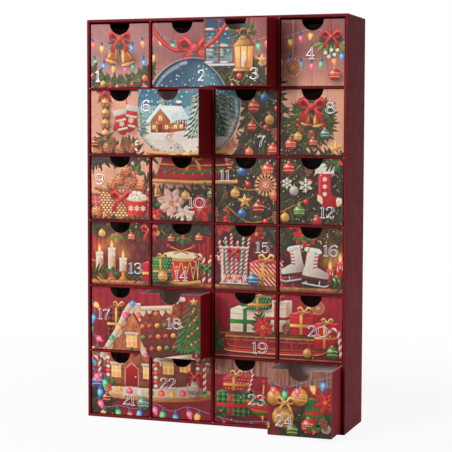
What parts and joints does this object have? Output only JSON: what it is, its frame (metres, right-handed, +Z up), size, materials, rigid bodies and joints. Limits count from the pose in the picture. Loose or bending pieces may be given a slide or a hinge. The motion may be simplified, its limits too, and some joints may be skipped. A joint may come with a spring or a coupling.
{
  "type": "advent calendar",
  "caption": "Upright paperboard cabinet with a grid of small open-topped drawers, each pulled by a half-round thumb notch.",
  "frame": {"origin": "centre of the underside of the case, on the surface that it stands on", "axes": "+X to the right along the front, +Y from the drawer fronts to the back, +Z up"},
  "size_m": [0.302, 0.1168, 0.45],
  "materials": {
    "case_paper": "dark red paper wrapped over greyboard, satin",
    "divider_paper": "dark red paper wrapped over thin board, satin",
    "tray_board": "grey-brown board inside, dark red outside, matt",
    "printed_board": "printed board with a winter picture and a silver number, semi-matt"
  },
  "bodies": {
    "case": {"case_frame": "case_paper", "back_panel": "case_paper", "shelf_1": "divider_paper", "shelf_2": "divider_paper", "shelf_3": "divider_paper", "shelf_4": "divider_paper", "shelf_5": "divider_paper", "upright_1": "divider_paper", "upright_2": "divider_paper", "upright_3": "divider_paper"},
    "drawer_01": {"drawer_01_tray": "tray_board", "drawer_01_front": "printed_board"},
    "drawer_02": {"drawer_02_tray": "tray_board", "drawer_02_front": "printed_board"},
    "drawer_03": {"drawer_03_tray": "tray_board", "drawer_03_front": "printed_board"},
    "drawer_04": {"drawer_04_tray": "tray_board", "drawer_04_front": "printed_board"},
    "drawer_05": {"drawer_05_tray": "tray_board", "drawer_05_front": "printed_board"},
    "drawer_06": {"drawer_06_tray": "tray_board", "drawer_06_front": "printed_board"},
    "drawer_07": {"drawer_07_tray": "tray_board", "drawer_07_front": "printed_board"},
    "drawer_08": {"drawer_08_tray": "tray_board", "drawer_08_front": "printed_board"},
    "drawer_09": {"drawer_09_tray": "tray_board", "drawer_09_front": "printed_board"},
    "drawer_10": {"drawer_10_tray": "tray_board", "drawer_10_front": "printed_board"},
    "drawer_11": {"drawer_11_tray": "tray_board", "drawer_11_front": "printed_board"},
    "drawer_12": {"drawer_12_tray": "tray_board", "drawer_12_front": "printed_board"},
    "drawer_13": {"drawer_13_tray": "tray_board", "drawer_13_front": "printed_board"},
    "drawer_14": {"drawer_14_tray": "tray_board", "drawer_14_front": "printed_board"},
    "drawer_15": {"drawer_15_tray": "tray_board", "drawer_15_front": "printed_board"},
    "drawer_16": {"drawer_16_tray": "tray_board", "drawer_16_front": "printed_board"},
    "drawer_17": {"drawer_17_tray": "tray_board", "drawer_17_front": "printed_board"},
    "drawer_18": {"drawer_18_tray": "tray_board", "drawer_18_front": "printed_board"},
    "drawer_19": {"drawer_19_tray": "tray_board", "drawer_19_front": "printed_board"},
    "drawer_20": {"drawer_20_tray": "tray_board", "drawer_20_front": "printed_board"},
    "drawer_21": {"drawer_21_tray": "tray_board", "drawer_21_front": "printed_board"},
    "drawer_22": {"drawer_22_tray": "tray_board", "drawer_22_front": "printed_board"},
    "drawer_23": {"drawer_23_tray": "tray_board", "drawer_23_front": "printed_board"},
    "drawer_24": {"drawer_24_tray": "tray_board", "drawer_24_front": "printed_board"}
  },
  "joints": [
    {"name": "drawer_01_slide", "type": "slide", "parent": "case", "child": "drawer_01", "axis": [0, -1, 0], "range_m": [0, 0.06]},
    {"name": "drawer_02_slide", "type": "slide", "parent": "case", "child": "drawer_02", "axis": [0, -1, 0], "range_m": [0, 0.06]},
    {"name": "drawer_03_slide", "type": "slide", "parent": "case", "child": "drawer_03", "axis": [0, -1, 0], "range_m": [-0.038, 0.022]},
    {"name": "drawer_04_slide", "type": "slide", "parent": "case", "child": "drawer_04", "axis": [0, -1, 0], "range_m": [0, 0.06]},
    {"name": "drawer_05_slide", "type": "slide", "parent": "case", "child": "drawer_05", "axis": [0, -1, 0], "range_m": [0, 0.06]},
    {"name": "drawer_06_slide", "type": "slide", "parent": "case", "child": "drawer_06", "axis": [0, -1, 0], "range_m": [-0.042, 0.018]},
    {"name": "drawer_07_slide", "type": "slide", "parent": "case", "child": "drawer_07", "axis": [0, -1, 0], "range_m": [0, 0.06]},
    {"name": "drawer_08_slide", "type": "slide", "parent": "case", "child": "drawer_08", "axis": [0, -1, 0], "range_m": [0, 0.06]},
    {"name": "drawer_09_slide", "type": "slide", "parent": "case", "child": "drawer_09", "axis": [0, -1, 0], "range_m": [0, 0.06]},
    {"name": "drawer_10_slide", "type": "slide", "parent": "case", "child": "drawer_10", "axis": [0, -1, 0], "range_m": [0, 0.06]},
    {"name": "drawer_11_slide", "type": "slide", "parent": "case", "child": "drawer_11", "axis": [0, -1, 0], "range_m": [0, 0.06]},
    {"name": "drawer_12_slide", "type": "slide", "parent": "case", "child": "drawer_12", "axis": [0, -1, 0], "range_m": [0, 0.06]},
    {"name": "drawer_13_slide", "type": "slide", "parent": "case", "child": "drawer_13", "axis": [0, -1, 0], "range_m": [0, 0.06]},
    {"name": "drawer_14_slide", "type": "slide", "parent": "case", "child": "drawer_14", "axis": [0, -1, 0], "range_m": [0, 0.06]},
    {"name": "drawer_15_slide", "type": "slide", "parent": "case", "child": "drawer_15", "axis": [0, -1, 0], "range_m": [0, 0.06]},
    {"name": "drawer_16_slide", "type": "slide", "parent": "case", "child": "drawer_16", "axis": [0, -1, 0], "range_m": [0, 0.06]},
    {"name": "drawer_17_slide", "type": "slide", "parent": "case", "child": "drawer_17", "axis": [0, -1, 0], "range_m": [0, 0.06]},
    {"name": "drawer_18_slide", "type": "slide", "parent": "case", "child": "drawer_18", "axis": [0, -1, 0], "range_m": [-0.035, 0.025]},
    {"name": "drawer_19_slide", "type": "slide", "parent": "case", "child": "drawer_19", "axis": [0, -1, 0], "range_m": [0, 0.06]},
    {"name": "drawer_20_slide", "type": "slide", "parent": "case", "child": "drawer_20", "axis": [0, -1, 0], "range_m": [0, 0.06]},
    {"name": "drawer_21_slide", "type": "slide", "parent": "case", "child": "drawer_21", "axis": [0, -1, 0], "range_m": [0, 0.06]},
    {"name": "drawer_22_slide", "type": "slide", "parent": "case", "child": "drawer_22", "axis": [0, -1, 0], "range_m": [0, 0.06]},
    {"name": "drawer_23_slide", "type": "slide", "parent": "case", "child": "drawer_23", "axis": [0, -1, 0], "range_m": [0, 0.06]},
    {"name": "drawer_24_slide", "type": "slide", "parent": "case", "child": "drawer_24", "axis": [0, -1, 0], "range_m": [-0.042, 0.018]}
  ]
}
